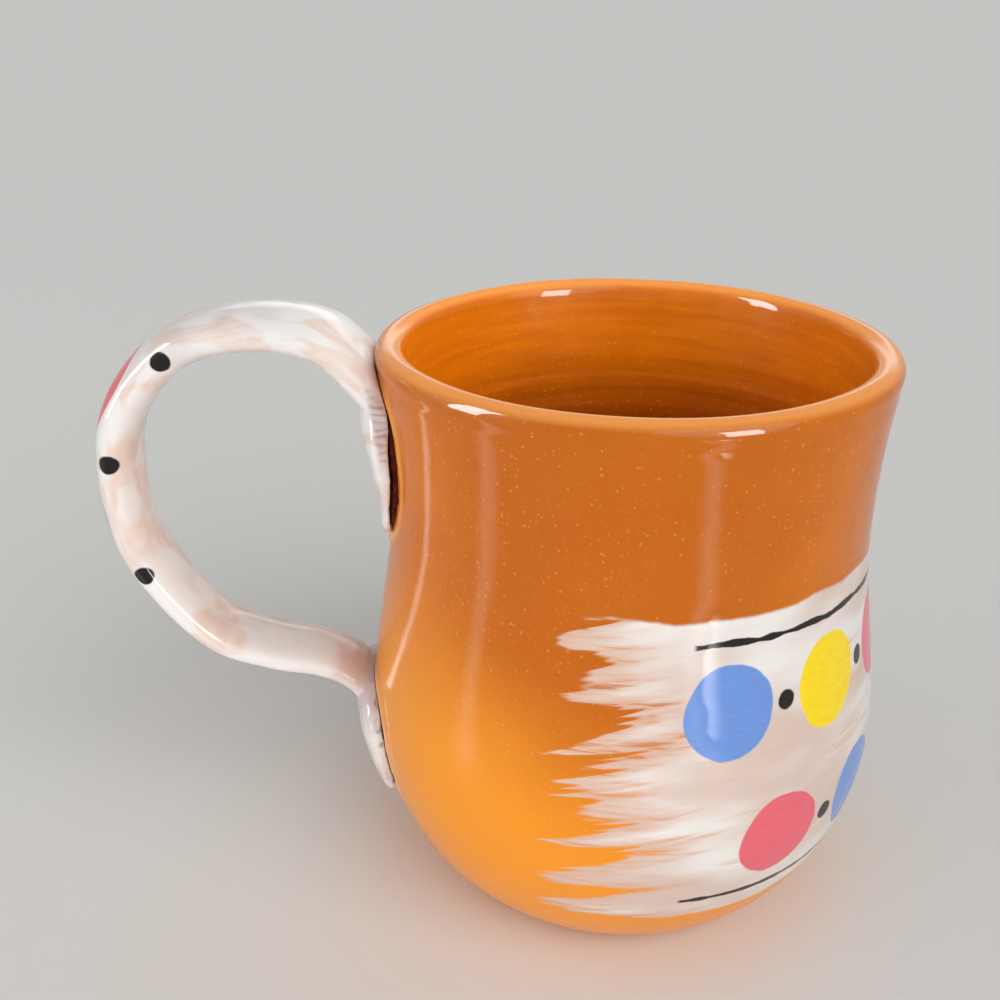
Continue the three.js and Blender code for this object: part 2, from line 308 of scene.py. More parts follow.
def edge_distance(sideways, heights, tail):
    """Distance of points on the wall from a tail's edge, below zero where the tail covers them."""
    share = (1 - np.cos(np.linspace(0.02, math.pi - 0.02, 160))) / 2
    half, rows = tail_half(tail, share), tail["top"] - share * tail["length"]
    edge = np.stack([np.concatenate([half, -half]), np.concatenate([rows, rows])], axis=1)
    points = np.stack([sideways, heights], axis=1)
    gap = np.sqrt(((points[:, None, :] - edge[None, :, :]) ** 2).sum(-1)).min(1)
    covered = np.abs(sideways) < np.interp(heights, rows[::-1], half[::-1], left=0, right=0)
    return np.where(covered, -gap, gap)


def ridge_height(sideways, heights):
    """How far the clay stands up along the tails, where it was pushed aside."""
    height = np.zeros_like(sideways)
    for tail in (UPPER_TAIL, LOWER_TAIL):
        gap = edge_distance(sideways, heights, tail)
        lump = 0.75 + 0.25 * np.sin(heights * 1100 + np.sign(sideways)) * np.sin(heights * 437)
        ridge = RIDGE * lump * np.exp(-(((gap - RIDGE_OFFSET) / RIDGE_WIDTH) ** 2))
        height += np.where(gap > 0, ridge, 0)
    return height


def bowl_turns():
    """Angles round the bowl, measured from the handle, closer together by the joints."""
    fine = np.arange(-JOINT_SECTOR, JOINT_SECTOR, FINE_TURN)
    count = round((2 * math.pi - 2 * JOINT_SECTOR) / COARSE_TURN)
    coarse = np.linspace(JOINT_SECTOR, 2 * math.pi - JOINT_SECTOR, count)
    return np.concatenate([fine, coarse[:-1]])


def half_turns(turns):
    """The same angles between half a turn to one side of the handle and half a turn to the other."""
    return (turns + math.pi) % (2 * math.pi) - math.pi


def throwing_rings(heights, turns):
    """A shallow spiral of ridges that fades towards the lip and the floor."""
    lap = turns / (2 * math.pi)
    spiral = np.sin(2 * math.pi * (heights / RING_PITCH - lap))
    fine = np.sin(2 * math.pi * (heights / (RING_PITCH * 0.37) - 2 * lap) + 2.1 * np.sin(heights * 90))
    fade = np.clip((LIP_HEIGHT - 6 * MM - heights) / (14 * MM), 0, 1) * np.clip(heights / (20 * MM), 0, 1)
    return THROWING_RINGS * fade * (0.62 * spiral + 0.38 * fine)


def floor_spiral(radius, turns):
    """How far a spiral left by the fingers stands up from the inside floor."""
    lap = turns / (2 * math.pi)
    phase = 2 * math.pi * (radius / FLOOR_SPIRAL_PITCH - lap) + 0.5 * np.sin(2 * turns + 1.0)
    wave = 0.5 + 0.5 * np.sin(phase)
    fade = np.clip(radius / (5 * MM), 0, 1) * np.clip((30 * MM - radius) / (14 * MM), 0, 1)
    return FLOOR_SPIRAL * fade * wave


def glazed_bowl():
    """The thrown body as one closed skin."""
    profile = bowl_profile()
    turns = bowl_turns()
    top = int(np.argmax(profile[:, 1]))
    rows = profile[1:-1]
    row_index = np.arange(1, len(profile) - 1)[:, None]
    turn = turns[None, :]
    radius = np.repeat(rows[:, :1], len(turns), axis=1)
    height = np.repeat(rows[:, 1:], len(turns), axis=1)
    outside = (row_index <= top) & (height > FOOT_EDGE)
    inside = row_index > top
    out_of_round = 0.5 * np.sin(2 * turn + 0.7 + height * 14) + 0.3 * np.sin(3 * turn + 2.3 - height * 9)
    radius = radius - WOBBLE * (0.8 + out_of_round) * np.clip(height / (10 * MM), 0, 1)
    ribbed = np.sin(height * 980 + turn) + np.sin(height * 620 - 2 * turn + 1.1)
    radius = radius - np.where(outside, RIB_MARKS * (2 + ribbed), 0)
    lip_line = LIP_LINE * np.exp(-(((HEIGHT - LIP_LINE_DROP - height) / LIP_LINE_WIDTH) ** 2))
    radius = radius - np.where(outside, lip_line, 0)
    radius = radius + np.where(inside, throwing_rings(height, turn), 0)
    from_handle = half_turns(turn)
    near = outside & (np.abs(from_handle) < JOINT_SECTOR) & (height < LIP_HEIGHT)
    sideways = (from_handle * radius)[near]
    radius[near] += ridge_height(sideways, height[near])
    height = height + np.where(inside & (height < BELLY_HEIGHT), floor_spiral(radius, turn), 0)
    by_lip = np.clip((height - LIP_HEIGHT) / LIP_RADIUS, 0, 1)
    lip_wave = 1 + 0.6 * np.sin(3 * turn + 0.4) + 0.4 * np.sin(7 * turn + 1.9)
    height = height - LIP_WAVE * by_lip * lip_wave
    rings = np.stack([-radius * np.cos(turn), radius * np.sin(turn), height], axis=-1)
    count, sides = rings.shape[:2]
    verts = np.concatenate([[(0, 0, 0)], rings.reshape(-1, 3), [(0, 0, FLOOR_THICKNESS)]])
    faces = ring_faces(count, sides, first=1)
    last_ring = 1 + (count - 1) * sides
    faces += [(0, 1 + (j + 1) % sides, 1 + j) for j in range(sides)]
    faces += [(len(verts) - 1, last_ring + j, last_ring + (j + 1) % sides) for j in range(sides)]
    bowl = piece("glazed_bowl", verts, faces)
    bowl.data.materials.append(glazed_clay())
    bowl.data.materials.append(bare_foot())
    for polygon in bowl.data.polygons:
        centre = polygon.center
        on_foot = centre.z < FOOT_EDGE and math.hypot(centre.x, centre.y) < FOOT_RADIUS
        polygon.material_index = 1 if on_foot else 0
    return bowl


# Shape of the handle


def ring_faces(count, sides, first=0):
    """Four-sided faces between rings of points that follow each other."""
    faces = []
    for i in range(count - 1):
        for j in range(sides):
            a = first + i * sides + j
            b = first + i * sides + (j + 1) % sides
            faces.append((a, b, b + sides, a + sides))
    return faces


def loft(rings):
    """Vertices and faces of a closed surface through rings of points."""
    count, sides = len(rings), len(rings[0])
    faces = ring_faces(count, sides)
    faces.append(tuple(range(sides)))
    faces.append(tuple(range((count - 1) * sides, count * sides)))
    return np.concatenate(rings), faces


def piece(name, verts, faces):
    """A new object with its faces turned outwards and shaded smooth."""
    mesh = bpy.data.meshes.new(name)
    mesh.from_pydata([tuple(v) for v in verts], [], faces)
    shell = bmesh.new()
    shell.from_mesh(mesh)
    bmesh.ops.recalc_face_normals(shell, faces=shell.faces)
    shell.to_mesh(mesh)
    shell.free()
    mesh.shade_smooth()
    made = bpy.data.objects.new(name, mesh)
    bpy.context.scene.collection.objects.link(made)
    return made


def oval(angle, exponent):
    """Points on a superellipse with half axes of 1."""
    c, s = np.cos(angle), np.sin(angle)
    return np.sign(c) * np.abs(c) ** (2 / exponent), np.sign(s) * np.abs(s) ** (2 / exponent)


def smooth_line(points, steps=60):
    """A centripetal curve through points, whose ends run straight on."""
    points = np.array(points)
    points = np.concatenate([[2 * points[0] - points[1]], points, [2 * points[-1] - points[-2]]])
    line = []
    for p0, p1, p2, p3 in zip(points, points[1:], points[2:], points[3:]):
        t0, t1, t2 = (np.linalg.norm(b - a) ** 0.5 for a, b in ((p0, p1), (p1, p2), (p2, p3)))
        leave = ((p1 - p0) / t0 - (p2 - p0) / (t0 + t1) + (p2 - p1) / t1) * t1
        arrive = ((p2 - p1) / t1 - (p3 - p1) / (t1 + t2) + (p3 - p2) / t2) * t1
        for u in np.linspace(0, 1, steps, endpoint=False):
            cubic = (2 * p1 - 2 * p2 + leave + arrive) * u**3
            square = (3 * p2 - 3 * p1 - 2 * leave - arrive) * u**2
            line.append(p1 + leave * u + square + cubic)
    return np.array(line + [points[-2]])


def strap_centre_line():
    """The strap's centre line in the XZ plane, from inside the wall round the loop and back in."""
    upper, lower = float(wall_radius(UPPER_JOINT_HEIGHT)), float(wall_radius(LOWER_JOINT_HEIGHT))
    upper_root = np.array((-upper, UPPER_JOINT_HEIGHT))
    lower_root = np.array((-lower, LOWER_JOINT_HEIGHT))
    loop = []
    for out, up in LOOP_SHARES:
        wall = lerp(lower, upper, min(up, 1))
        height = lerp(LOWER_JOINT_HEIGHT, UPPER_JOINT_HEIGHT, up)
        loop.append(np.array((-wall - out * HANDLE_REACH, height)))

    def buried(root, following):
        inward = root - following
        return root + inward / np.linalg.norm(inward) * STRAP_BURIAL

    upper_end, lower_end = buried(upper_root, loop[0]), buried(lower_root, loop[-1])
    return even_steps(smooth_line([upper_end, upper_root, *loop, lower_root, lower_end]), STRAP_STEP)


def strap_taper(along, sizes):
    """The strap narrows soon after the upper joint, and then slowly towards the lower one."""
    root, middle, end = sizes
    if along < STRAP_FLARE_SHARE:
        return ease(along / STRAP_FLARE_SHARE, root, middle)
    return ease((along - STRAP_FLARE_SHARE) / (1 - STRAP_FLARE_SHARE), middle, end)


def strap_rings(line):
    """Oval sections carried round the handle's loop."""
    across = np.array((0.0, 1.0, 0.0))
    tangents = np.gradient(line, axis=0)
    out, side = oval(np.linspace(0, 2 * math.pi, 56, endpoint=False), STRAP_SQUARENESS)
    rings = []
    for i, ((x, z), (tx, tz)) in enumerate(zip(line, tangents)):
        outward = np.array((tz, 0.0, -tx)) / math.hypot(tx, tz)
        along = i / (len(line) - 1)
        rings.append(
            np.array((x, 0.0, z))
            + np.outer(out * strap_taper(along, STRAP_THICKNESSES) / 2, outward)
            + np.outer(side * strap_taper(along, STRAP_WIDTHS) / 2, across)
        )
    return rings


def round_wall(radius, angle, height):
    """A point by the wall, with its angle measured round the bowl from the handle."""
    return np.stack(np.broadcast_arrays(-radius * np.cos(angle), radius * np.sin(angle), height), axis=-1)


def end_to_end(steps):
    """Steps from 1 to -1 that get closer together towards both."""
    return [math.cos(math.pi * (i + 0.5) / (steps + 1)) for i in range(steps + 1)]


def tail_rings(tail, steps=70, sides=64):
    """A tongue of clay bent round the wall, with a thick edge that lifts off the wall."""
    rings = []
    for from_middle in end_to_end(steps):
        share = (1 - from_middle) / 2
        height = tail["top"] - share * tail["length"]
        half = float(tail_half(tail, share))
        proud = along_tail(tail, "thickness", share) * math.sqrt(1 - from_middle**TAIL_END)
        lift = along_tail(tail, "lift", share)
        wall = float(wall_radius(height))
        side, out = oval(np.linspace(0, math.pi, sides), tail["edge"])
        torn = [lumps.noise(Vector((height / RAGGED_SIZE, s * 7.0, 0.3))) for s in (-1, 1)]
        reach = half + np.where(side < 0, *(tail["ragged"] * t for t in torn))
        lifted = wall + proud * np.maximum(out, 0) + lift * side**2
        outer = round_wall(lifted, reach * side / wall, height)
        inner = round_wall(wall - tail["length"] / 8, np.array((-half, half)) / wall, height)
        rings.append(np.concatenate([outer, inner]))
    return rings


def seat_gap(sideways, heights):
    """How far from the wall the handle sits on its slip, more under the lifted edges of the tails."""
    middle = (UPPER_TAIL["top"] - UPPER_TAIL["length"] + LOWER_TAIL["top"]) / 2
    gaps = []
    for tail in (UPPER_TAIL, LOWER_TAIL):
        share = tail_share(tail, heights)
        from_middle = np.abs(sideways) / np.maximum(tail_half(tail, share), 4.0 * MM)
        lift = along_tail(tail, "lift", share) * np.minimum(from_middle, 1.15) ** 2
        gaps.append(along_tail(tail, "seat", share) + lift)
    return np.where(heights > middle, *gaps)


def seat_cutter():
    """The bowl with its slip as a plain solid, which trims the handle to its seat."""
    heights = np.linspace(1.0 * MM, LIP_HEIGHT, 150)
    turns = bowl_turns()
    from_handle = half_turns(turns)
    rings = []
    for height in heights:
        wall = float(wall_radius(height))
        rings.append(round_wall(wall + seat_gap(from_handle * wall, height), turns, height))
    rings.append(round_wall(RIM_RADIUS - LIP_RADIUS, turns, HEIGHT + 1.0 * MM))
    return piece("seat_cutter", *loft(rings))


def modify(made, name, kind, **settings):
    """Adds a modifier with its settings."""
    added = made.modifiers.new(name, kind)
    for setting, value in settings.items():
        setattr(added, setting, value)


def apply_modifiers(made):
    """Replaces an object's mesh by its mesh after all its modifiers."""
    graph = bpy.context.evaluated_depsgraph_get()
    mesh = bpy.data.meshes.new_from_object(made.evaluated_get(graph))
    old = made.data
    made.modifiers.clear()
    made.data = mesh
    bpy.data.meshes.remove(old)


def of_vertices(mesh, kind):
    """The place (co) or the normal of each vertex."""
    flat = np.empty(len(mesh.vertices) * 3)
    mesh.vertices.foreach_get(kind, flat)
    return flat.reshape(-1, 3)


def strap_map(points, line):
    """For points of the handle: distance along it, across it and out from its centre line."""
    flat = points[:, (0, 2)]
    lengths = lengths_along(line)
    tangents = np.gradient(line, axis=0)
    outward = np.stack([tangents[:, 1], -tangents[:, 0]], axis=1)
    outward /= np.linalg.norm(outward, axis=1, keepdims=True)
    blocks = np.array_split(flat, len(flat) // 4000 + 1)  # keeps each table of distances small
    nearest = np.concatenate([((block[:, None] - line) ** 2).sum(-1).argmin(1) for block in blocks])
    aside = flat - line[nearest]
    out = (aside * outward[nearest]).sum(1)
    onward = (aside * np.stack([-outward[:, 1], outward[:, 0]], axis=1)[nearest]).sum(1)
    return np.stack([lengths[nearest] + onward, points[:, 1], out], axis=1)


def store(mesh, name, values):
    """Keeps one number or three on each vertex, for the mesh's material."""
    kind, field = ("FLOAT", "value") if values.ndim == 1 else ("FLOAT_VECTOR", "vector")
    attribute = mesh.attributes.new(name, kind, "POINT")
    attribute.data.foreach_set(field, np.ascontiguousarray(values, np.float32).ravel())


def window(values, start, end, soft):
    """1 between two marks, falling softly to 0 outside them."""
    return np.clip((values - start) / soft + 0.5, 0, 1) * np.clip((end - values) / soft + 0.5, 0, 1)


def tail_faces(points, facing):
    """For points of the handle: shares of the joints' strip (a lilac tint on the upper tail's side faces,
    painted shade on the strap's top by the lower joint), of its grooves (which also carry dark slip flecks
    along the lower seam), and of the upper tip.
    """
    heights = points[:, 2]
    off_wall = np.hypot(points[:, 0], points[:, 1]) - wall_radius(heights)
    share = (UPPER_TAIL["top"] - heights) / UPPER_TAIL["length"]
    upper = window(share, 0.04, 0.4, 0.1) * window(off_wall, -1.0 * MM, 2.9 * MM, 0.7 * MM)
    upper *= np.clip((np.abs(facing[:, 1]) - 0.35) / 0.3, 0, 1)
    # The grooves are cut into the surface and also darkened in the handle's colour, which is painted shade
    # in them.
    wander = 0.8 * np.sin(heights * 880) + 0.6 * np.sin(heights * 2100 + off_wall * 900)
    grooves = np.clip(np.cos(2 * math.pi * heights / GROOVE_PITCH + wander), 0, 1) ** 1.3
    grooves *= 0.75 + 0.25 * np.sin(heights * 1530)
    # On the strap's top by the lower joint the strip is painted shade, where the strap runs in to the wall.
    above_root = heights - LOWER_JOINT_HEIGHT
    lower = window(above_root, 2.0 * MM, 13.0 * MM, 5.0 * MM)
    lower *= window(off_wall, -1.0 * MM, 6.0 * MM, 6.0 * MM)
    lower *= np.clip((facing[:, 2] + 0.1) / 0.5, 0, 1)
    seam = window(above_root, -12.0 * MM, 6.0 * MM, 2.0 * MM)
    seam *= window(off_wall, -1.0 * MM, 1.0 * MM, 0.6 * MM)
    flecks = seam * np.clip(2.6 * uneven(points, 0.9 * MM, 5.0) - 0.2, 0, 1)
    tip = window(share, 0.89, 1.2, 0.06) * window(off_wall, -1.0 * MM, 5.0 * MM, 1.0 * MM)
    return np.stack([np.maximum(upper, 0.8 * lower), np.maximum(upper * grooves, flecks), tip], axis=1)


def uneven(points, size, seed):
    """Soft lumps of a given size, as one value of -1..1 for each point."""
    shift = Vector((seed, seed * 0.7, -seed * 0.4))
    return np.array([lumps.noise(Vector(p) / size + shift) for p in points])


def brushed_handle():
    """Strap and tails blended to one pulled piece of clay."""
    line = strap_centre_line()
    verts, polygons = [], []
    for rings in (strap_rings(line), tail_rings(UPPER_TAIL), tail_rings(LOWER_TAIL)):
        more, sides = loft(rings)
        polygons += [tuple(corner + sum(map(len, verts)) for corner in side) for side in sides]
        verts.append(more)
    handle = piece("brushed_handle", np.concatenate(verts), polygons)
    cutter = seat_cutter()
    modify(handle, "joined", "REMESH", mode="VOXEL", voxel_size=HANDLE_VOXEL * 1.3)
    modify(handle, "trimmed", "BOOLEAN", operation="DIFFERENCE", object=cutter)
    modify(handle, "evened", "REMESH", mode="VOXEL", voxel_size=HANDLE_VOXEL)
    modify(handle, "sponged", "SMOOTH", factor=0.5, iterations=12)
    apply_modifiers(handle)
    bpy.data.objects.remove(cutter)
    mesh = handle.data
    points = of_vertices(mesh, "co")
    by_hand = PULLED_LUMP * uneven(points, PULLED_SIZE, 3.0) + FINE_LUMP * uneven(points, FINE_SIZE, 8.0)
    by_hand -= LUMP_SINK
    pressed = window(points[:, 2], 0.0, LOWER_TAIL["top"], 6 * MM)
    by_hand += PRESSED_LUMP * pressed * uneven(points, PRESSED_SIZE, 6.0)
    off_wall = np.hypot(points[:, 0], points[:, 1]) - wall_radius(points[:, 2])
    free = np.clip((off_wall - 1.6 * MM) / (1.0 * MM), 0, 1)
    facing = of_vertices(mesh, "normal")
    faces = tail_faces(points, facing)
    points = points + facing * (by_hand * free - GROOVE_DEPTH * faces[:, 1])[:, None]
    mesh.vertices.foreach_set("co", points.ravel())
    mesh.update()
    mesh.shade_smooth()
    store(mesh, "strap_map", strap_map(points, line))
    store(mesh, "tail_faces", faces)
    mesh.materials.clear()
    mesh.materials.append(brushed_slip_handle())
    return handle


def slip_pad(name, tail, margin, spread, ends, seed):
    """Joining slip between the wall and a tail, with an uneven edge a margin out from the tail's edge."""
    steps, sides = 110, 60
    top, tip = tail["top"] - ends[0], tail["top"] - tail["length"] + ends[1]
    rings = []
    for from_middle in end_to_end(steps):
        round_end = math.sqrt(1 - from_middle**TAIL_END)
        height = lerp(top, tip, (1 - from_middle) / 2)
        share = tail_share(tail, height)
        wall = float(wall_radius(height))
        squeeze = [lumps.noise(Vector((height / SLIP_SQUEEZE, side * 5.0, seed))) for side in (-1, 1)]
        half = float(tail_half(tail, share)) + margin
        halves = [max(half + spread * s, 1.0 * MM) * round_end for s in squeeze]
        side, out = oval(np.linspace(0, math.pi, sides), SLIP_EDGE)
        sideways = np.where(side < 0, side * halves[0], side * halves[1])
        rough = np.array([lumps.noise(Vector((s, height, seed * MM)) / SLIP_GRAIN) for s in sideways])
        thickness = np.maximum(seat_gap(sideways, height) - SLIP_CLEARANCE, SLIP_LEAST)
        proud = thickness * (0.85 + 0.15 * rough)
        outer = round_wall(wall + proud * np.maximum(out, 0), sideways / wall, height)
        under = np.linspace(-halves[0], halves[1], 12)
        inner = round_wall(wall - SLIP_SINK, under / wall, height)
        rings.append(np.concatenate([outer, inner]))
    pad = piece(name, *loft(rings))
    pad.data.materials.append(joining_slip())
    return pad


# Finishes


class Wire:
    """A value in a shader's node tree. Sums and products of wires become nodes of that tree."""

    def __init__(self, socket):
        self.socket = socket

    def __add__(self, other):
        return calculate("ADD", self, other)

    def __sub__(self, other):
        return calculate("SUBTRACT", self, other)

    def __rsub__(self, other):
        return calculate("SUBTRACT", other, self)

    def __mul__(self, other):
        return calculate("MULTIPLY", self, other)

    def __truediv__(self, other):
        return calculate("DIVIDE", self, other)

    def __rtruediv__(self, other):
        return calculate("DIVIDE", other, self)

    def __abs__(self):
        return calculate("ABSOLUTE", self)


def feed(socket, value):
    """Gives an input a wire or a constant."""
    if isinstance(value, Wire):
        socket.id_data.links.new(value.socket, socket)
    else:
        socket.default_value = value


def new_node(tree, kind, inputs=None, **settings):
    """A node with its settings, and with its inputs fed by name."""
    node = tree.nodes.new(kind)
    for name, value in settings.items():
        setattr(node, name, value)
    for name, value in (inputs or {}).items():
        feed(node.inputs[name], value)
    return node


def wires(node):
    """The outputs of a node by name."""
    return {socket.name: Wire(socket) for socket in node.outputs}


def made_by(kind, inputs, output=0, **settings):
    """An output of a new node, in the tree of the wires that it takes in."""
    tree = next(value.socket.id_data for value in inputs.values() if isinstance(value, Wire))
    return Wire(new_node(tree, kind, inputs, **settings).outputs[output])


def calculate(operation, *values, clamp=False):
    return made_by("ShaderNodeMath", dict(enumerate(values)), operation=operation, use_clamp=clamp)


def larger(first, second):
    return calculate("MAXIMUM", first, second)


def over(value, mark):
    """1 where a value is over a mark, and 0 elsewhere."""
    return calculate("GREATER_THAN", value, mark)


def blend(share, first, second):
    """One colour turning into another by a share."""
    return made_by("ShaderNodeMix", {0: share, 6: first, 7: second}, 2, data_type="RGBA")


def ramp(value, start, end, low=0.0, high=1.0):
    """A value that goes smoothly from low to high between two marks."""
    inputs = {"Value": value, "From Min": start, "From Max": end, "To Min": low, "To Max": high}
    return made_by("ShaderNodeMapRange", inputs, interpolation_type="SMOOTHSTEP")


def vector(x, y, z=0.0):
    return made_by("ShaderNodeCombineXYZ", {"X": x, "Y": y, "Z": z})


def split(value):
    """The three parts of a vector."""
    return wires(new_node(value.socket.id_data, "ShaderNodeSeparateXYZ", {"Vector": value})).values()


def noise(place, scale, detail=2.0, roughness=0.5):
    inputs = {"Vector": place, "Scale": scale, "Detail": detail, "Roughness": roughness}
    return made_by("ShaderNodeTexNoise", inputs)


def bump(level, depth):
    """A normal from a level of 0..1 that stands for a depth in metres."""
    return made_by("ShaderNodeBump", {"Strength": 1.0, "Distance": depth, "Height": level})


def object_place(tree):
    return wires(new_node(tree, "ShaderNodeTexCoord"))["Object"]


def on_vertices(tree, name, kind="Fac"):
    """A value that a mesh keeps on its vertices."""
    return wires(new_node(tree, "ShaderNodeAttribute", attribute_name=name))[kind]


def placed(tree, effect, **inputs):
    """The outputs of a shared effect in a material."""
    return wires(new_node(tree, "ShaderNodeGroup", inputs, node_tree=effect))


def new_effect(name, inputs, outputs):
    """An empty shader node group, its inputs as wires and its outputs to feed."""
    tree = bpy.data.node_groups.new(name, "ShaderNodeTree")
    for label in inputs:
        tree.interface.new_socket(label, in_out="INPUT", socket_type="NodeSocketFloat")
    for label in outputs:
        kind = "NodeSocketColor" if label == "Color" else "NodeSocketFloat"
        tree.interface.new_socket(label, in_out="OUTPUT", socket_type=kind)
    entry = wires(new_node(tree, "NodeGroupInput"))
    return tree, [entry[label] for label in inputs], new_node(tree, "NodeGroupOutput").inputs


def clay_specks_effect():
    """Fine grains of paler grit in the clay."""
    labels = ("Spacing", "Size", "Amount")
    tree, (spacing, size, amount), made = new_effect("clay_specks", labels, ("Mask",))
    grid = {"Vector": object_place(tree), "Scale": 1.0 / spacing, "Randomness": 1.0}
    cells = wires(new_node(tree, "ShaderNodeTexVoronoi", grid))
    chance = new_node(tree, "ShaderNodeSeparateColor", {"Color": cells["Color"]})
    rarity, growth, _ = wires(chance).values()
    grown = size * (growth + 0.45)
    feed(made["Mask"], ramp(cells["Distance"], grown, grown * 0.2) * over(amount, rarity))
    return tree


def glaze_ripple_effect():
    """The slightly uneven level of a poured glaze."""
    tree, (wave,), made = new_effect("glaze_ripple", ("Wave",), ("Height",))
    place = object_place(tree)
    scale = 1.0 / wave
    feed(made["Height"], noise(place, scale, 1.0) + noise(place, scale * 4.3, 1.0) * 0.16)
    return tree


def brush_streaks_effect():
    """Marks of a loaded brush drawn along a surface: soft thin patches and fine bristle lines."""
    tree, (along, across), made = new_effect("brush_streaks", ("Along", "Across"), ("Patch", "Bristle"))
    feed(made["Patch"], noise(vector(along * 45.0, across * 230.0), 1.0, 2.0, 0.55))
    feed(made["Bristle"], noise(vector(along * 85.0, across * 1150.0, 3.7), 1.0, 2.0, 0.6))
    return tree


def dabbed_dots_effect():
    """A row of round dots in three colours, with slightly uneven edges."""
    labels = ("Along", "Across", "Pitch", "Radius", "Count", "First")
    tree, given, made = new_effect("dabbed_dots", labels, ("Mask", "Color"))
    along, across, pitch, radius, count, first = given
    cell = calculate("FLOOR", along / pitch + 0.5)
    aside = along - cell * pitch
    wander = (noise(vector(along, across), 0.8 / radius, 3.0) - 0.5) * (radius * 0.2)
    away = calculate("SQRT", calculate("POWER", aside, 2.0) + calculate("POWER", across, 2.0))
    dab = ramp(away + wander, radius, radius - 0.35 * MM)
    ended = calculate("LESS_THAN", cell, count - 0.5)
    feed(made["Mask"], dab * (over(cell, -0.5) * ended))
    turn = calculate("FLOORED_MODULO", cell + first, 3.0)
    hue = blend(calculate("COMPARE", turn, 1.0, 0.2), PAINT_BLUE, PAINT_YELLOW)
    hue = blend(calculate("COMPARE", turn, 2.0, 0.2), hue, PAINT_CORAL)
    stroke = noise(vector(along * 0.25, across), 1500.0, 2.0)
    shade = {"Color": hue, "Value": ramp(stroke, 0.3, 0.7, 0.965, 1.03)}
    feed(made["Color"], made_by("ShaderNodeHueSaturation", shade))
    return tree


CLAY_SPECKS = clay_specks_effect()
GLAZE_RIPPLE = glaze_ripple_effect()
BRUSH_STREAKS = brush_streaks_effect()
DABBED_DOTS = dabbed_dots_effect()

# Painted band round the belly, laid out on the wall as a length round it and a height
BAND_START = math.radians(-99) * BELLY_RADIUS
BAND_END = math.radians(146) * BELLY_RADIUS
BAND_LOW = 15.0 * MM
BAND_HIGH = 72.0 * MM
BAND_MIDDLE = (BAND_LOW + BAND_HIGH) / 2
DOT_RADIUS = 8.3 * MM
DOT_PITCH = 22.0 * MM
DOT_COUNT = 8
FIRST_DOT = BAND_START + 20.0 * MM
ROW_OFFSET = 12.5 * MM  # of the two rows of dots from the middle of the band
LINE_OFFSET = 24.0 * MM  # of the two thin lines
LINE_WIDTH = 1.3 * MM
SMALL_DOT_RADIUS = 1.9 * MM

# Dots on the handle, along its centre line from the upper end
HANDLE_DOT_START = 60.0 * MM
HANDLE_DOT_PITCH = 22.0 * MM
HANDLE_DOT_RADIUS = 9.0 * MM
HANDLE_DOT_COUNT = 4
HANDLE_HALF_THICKNESS = STRAP_THICKNESSES[1] / 2


def new_finish(name):
    """A material, its node tree and the inputs of its one Principled shader."""
    material = bpy.data.materials.new(name)
    material.use_nodes = True
    tree = material.node_tree
    return material, tree, tree.nodes["Principled BSDF"].inputs


def clear_glaze(shader, colour, level, depth):
    """A glossy coat of clear glaze over a colour, with an uneven level of a given depth."""
    feed(shader["Base Color"], colour)
    shader["Specular IOR Level"].default_value = 0.05
    shader["Coat Weight"].default_value = 0.75
    shader["Coat Roughness"].default_value = 0.05
    shader["Coat IOR"].default_value = 1.38
    normal = bump(level, depth)
    feed(shader["Normal"], normal)
    feed(shader["Coat Normal"], normal)


def specks(tree, spacing, size, amount):
    return placed(tree, CLAY_SPECKS, Spacing=spacing, Size=size, Amount=amount)["Mask"]


def tongues(along, height, width, seed):
    """Pointed tongues of 0..1 that a brush leaves where its stroke starts, about a width apart."""
    place = vector(along * 12.0, (height - along * 0.2) / width, seed)
    return calculate("SUBTRACT", 1.0, abs(noise(place, 1.0, 1.0) - 0.5) * 6.0, clamp=True)


def band_mask(along, height, bristle):
    """Where the white slip was brushed, in tongues at both ends of the stroke, and how near its start."""
    sway = noise(vector(height, 0.31), 70.0, 1.0) * (13.0 * MM)
    broad = tongues(along, height, 8.5 * MM, 2.0) * (15.0 * MM)
    fine = tongues(along, height, 2.3 * MM, 5.0) * (6.0 * MM)
    loaded = sway + (broad + fine)
    from_start = along - BAND_START + loaded
    to_end = BAND_END - along + loaded
    begun, left = (ramp(stretch, 14.0 * MM, 16.5 * MM) for stretch in (from_start, to_end))
    dry = ramp(bristle, 0.56, 0.64) * ramp(from_start, 30.0 * MM, 14.0 * MM)
    level = height + (noise(vector(along, 0.77), 75.0, 3.0) - 0.5) * (4.0 * MM)
    above_low = ramp(level, BAND_LOW - 0.4 * MM, BAND_LOW + 0.4 * MM)
    below_high = ramp(level, BAND_HIGH + 0.4 * MM, BAND_HIGH - 0.4 * MM)
    covered = begun * left * (above_low * below_high) * (1.0 - dry * 0.8)
    return covered, ramp(from_start, 15.0 * MM, 33.0 * MM, 1.0, 0.0)


def thin_line(along, height, level, seed):
    """A brushed line at one level whose width swells and shrinks."""
    place = vector(along, seed)
    drift = (noise(place, 70.0, 2.0) - 0.5) * (1.6 * MM)
    width = ramp(noise(place, 190.0, 2.0), 0.3, 0.7, 0.6, 1.25) * (LINE_WIDTH / 2)
    stroke = ramp(abs(height + drift - level), width, width - 0.2 * MM)
    begun = ramp(along, BAND_START + 13.0 * MM, BAND_START + 14.0 * MM)
    ended = ramp(along, BAND_END - 9.0 * MM, BAND_END - 10.0 * MM)
    return stroke * (begun * ended)


